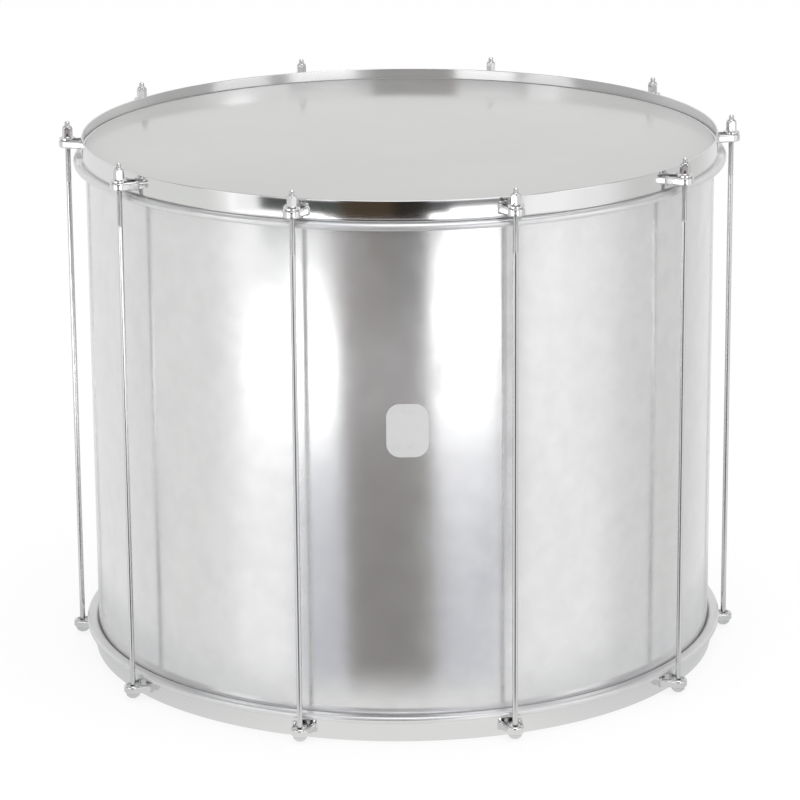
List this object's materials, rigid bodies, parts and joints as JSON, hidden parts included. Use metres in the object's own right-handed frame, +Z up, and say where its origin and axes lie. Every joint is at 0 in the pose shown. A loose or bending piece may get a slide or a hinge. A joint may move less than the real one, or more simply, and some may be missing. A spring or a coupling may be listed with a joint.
{
  "type": "surdo",
  "caption": "Two-headed Brazilian bass drum: satin aluminium shell, milky plastic heads, flanged chrome hoops with welded strap ears, and long tension rods with hexagon nuts.",
  "frame": {"origin": "middle of the lower hoop's bottom edge, on the floor", "axes": "+Z up along the drum's axis; the badge faces -Y; two lugs lie on the X axis"},
  "size_m": [0.6056, 0.579, 0.48],
  "materials": {
    "shell_aluminium": "satin",
    "rivet_aluminium": "satin",
    "hoop_aluminium": "bare",
    "hoop_chrome": "mirror",
    "ear_chrome": "mirror",
    "rod_plating": "bright plated",
    "head_film": "semi-gloss",
    "badge": "satin"
  },
  "bodies": {
    "drum": {"shell": "shell_aluminium", "seam_strip": "shell_aluminium", "seam_rivets": "rivet_aluminium", "badge_plate": "badge", "bottom_film": "head_film", "bottom_flesh_hoop": "hoop_aluminium", "bottom_counterhoop": "hoop_chrome", "bottom_ear_01": "ear_chrome", "bottom_ear_02": "ear_chrome", "bottom_ear_03": "ear_chrome", "bottom_ear_04": "ear_chrome", "bottom_ear_05": "ear_chrome", "bottom_ear_06": "ear_chrome", "bottom_ear_07": "ear_chrome", "bottom_ear_08": "ear_chrome", "bottom_ear_09": "ear_chrome", "bottom_ear_10": "ear_chrome", "tension_rod_01": "rod_plating", "tension_rod_02": "rod_plating", "tension_rod_03": "rod_plating", "tension_rod_04": "rod_plating", "tension_rod_05": "rod_plating", "tension_rod_06": "rod_plating", "tension_rod_07": "rod_plating", "tension_rod_08": "rod_plating", "tension_rod_09": "rod_plating", "tension_rod_10": "rod_plating"},
    "top_hoop": {"top_film": "head_film", "top_flesh_hoop": "hoop_aluminium", "top_counterhoop": "hoop_chrome", "top_ear_01": "ear_chrome", "top_ear_02": "ear_chrome", "top_ear_03": "ear_chrome", "top_ear_04": "ear_chrome", "top_ear_05": "ear_chrome", "top_ear_06": "ear_chrome", "top_ear_07": "ear_chrome", "top_ear_08": "ear_chrome", "top_ear_09": "ear_chrome", "top_ear_10": "ear_chrome"},
    "nut_01": {"tension_nut_01": "rod_plating"},
    "nut_02": {"tension_nut_02": "rod_plating"},
    "nut_03": {"tension_nut_03": "rod_plating"},
    "nut_04": {"tension_nut_04": "rod_plating"},
    "nut_05": {"tension_nut_05": "rod_plating"},
    "nut_06": {"tension_nut_06": "rod_plating"},
    "nut_07": {"tension_nut_07": "rod_plating"},
    "nut_08": {"tension_nut_08": "rod_plating"},
    "nut_09": {"tension_nut_09": "rod_plating"},
    "nut_10": {"tension_nut_10": "rod_plating"}
  },
  "joints": [
    {"name": "top_hoop_lift", "type": "slide", "parent": "drum", "child": "top_hoop", "axis": [0, 0, 1], "range_m": [0, 0.006]},
    {"name": "nut_turn_01", "type": "hinge", "parent": "top_hoop", "child": "nut_01", "pos_m": [-0.295, 0, 0.4682], "axis": [0, 0, 1], "range_deg": [0, 2701]},
    {"name": "nut_turn_02", "type": "hinge", "parent": "top_hoop", "child": "nut_02", "pos_m": [-0.23866, -0.1734, 0.4682], "axis": [0, 0, 1], "range_deg": [0, 2701]},
    {"name": "nut_turn_03", "type": "hinge", "parent": "top_hoop", "child": "nut_03", "pos_m": [-0.09116, -0.28056, 0.4682], "axis": [0, 0, 1], "range_deg": [0, 2701]},
    {"name": "nut_turn_04", "type": "hinge", "parent": "top_hoop", "child": "nut_04", "pos_m": [0.09116, -0.28056, 0.4682], "axis": [0, 0, 1], "range_deg": [0, 2701]},
    {"name": "nut_turn_05", "type": "hinge", "parent": "top_hoop", "child": "nut_05", "pos_m": [0.23866, -0.1734, 0.4682], "axis": [0, 0, 1], "range_deg": [0, 2701]},
    {"name": "nut_turn_06", "type": "hinge", "parent": "top_hoop", "child": "nut_06", "pos_m": [0.295, 0, 0.4682], "axis": [0, 0, 1], "range_deg": [0, 2701]},
    {"name": "nut_turn_07", "type": "hinge", "parent": "top_hoop", "child": "nut_07", "pos_m": [0.23866, 0.1734, 0.4682], "axis": [0, 0, 1], "range_deg": [0, 2701]},
    {"name": "nut_turn_08", "type": "hinge", "parent": "top_hoop", "child": "nut_08", "pos_m": [0.09116, 0.28056, 0.4682], "axis": [0, 0, 1], "range_deg": [0, 2701]},
    {"name": "nut_turn_09", "type": "hinge", "parent": "top_hoop", "child": "nut_09", "pos_m": [-0.09116, 0.28056, 0.4682], "axis": [0, 0, 1], "range_deg": [0, 2701]},
    {"name": "nut_turn_10", "type": "hinge", "parent": "top_hoop", "child": "nut_10", "pos_m": [-0.23866, 0.1734, 0.4682], "axis": [0, 0, 1], "range_deg": [0, 2701]}
  ],
  "couplings": [
    {"joint": "nut_turn_01", "follows": "top_hoop_lift", "rad_per_m": 7854},
    {"joint": "nut_turn_02", "follows": "top_hoop_lift", "rad_per_m": 7854},
    {"joint": "nut_turn_03", "follows": "top_hoop_lift", "rad_per_m": 7854},
    {"joint": "nut_turn_04", "follows": "top_hoop_lift", "rad_per_m": 7854},
    {"joint": "nut_turn_05", "follows": "top_hoop_lift", "rad_per_m": 7854},
    {"joint": "nut_turn_06", "follows": "top_hoop_lift", "rad_per_m": 7854},
    {"joint": "nut_turn_07", "follows": "top_hoop_lift", "rad_per_m": 7854},
    {"joint": "nut_turn_08", "follows": "top_hoop_lift", "rad_per_m": 7854},
    {"joint": "nut_turn_09", "follows": "top_hoop_lift", "rad_per_m": 7854},
    {"joint": "nut_turn_10", "follows": "top_hoop_lift", "rad_per_m": 7854}
  ]
}
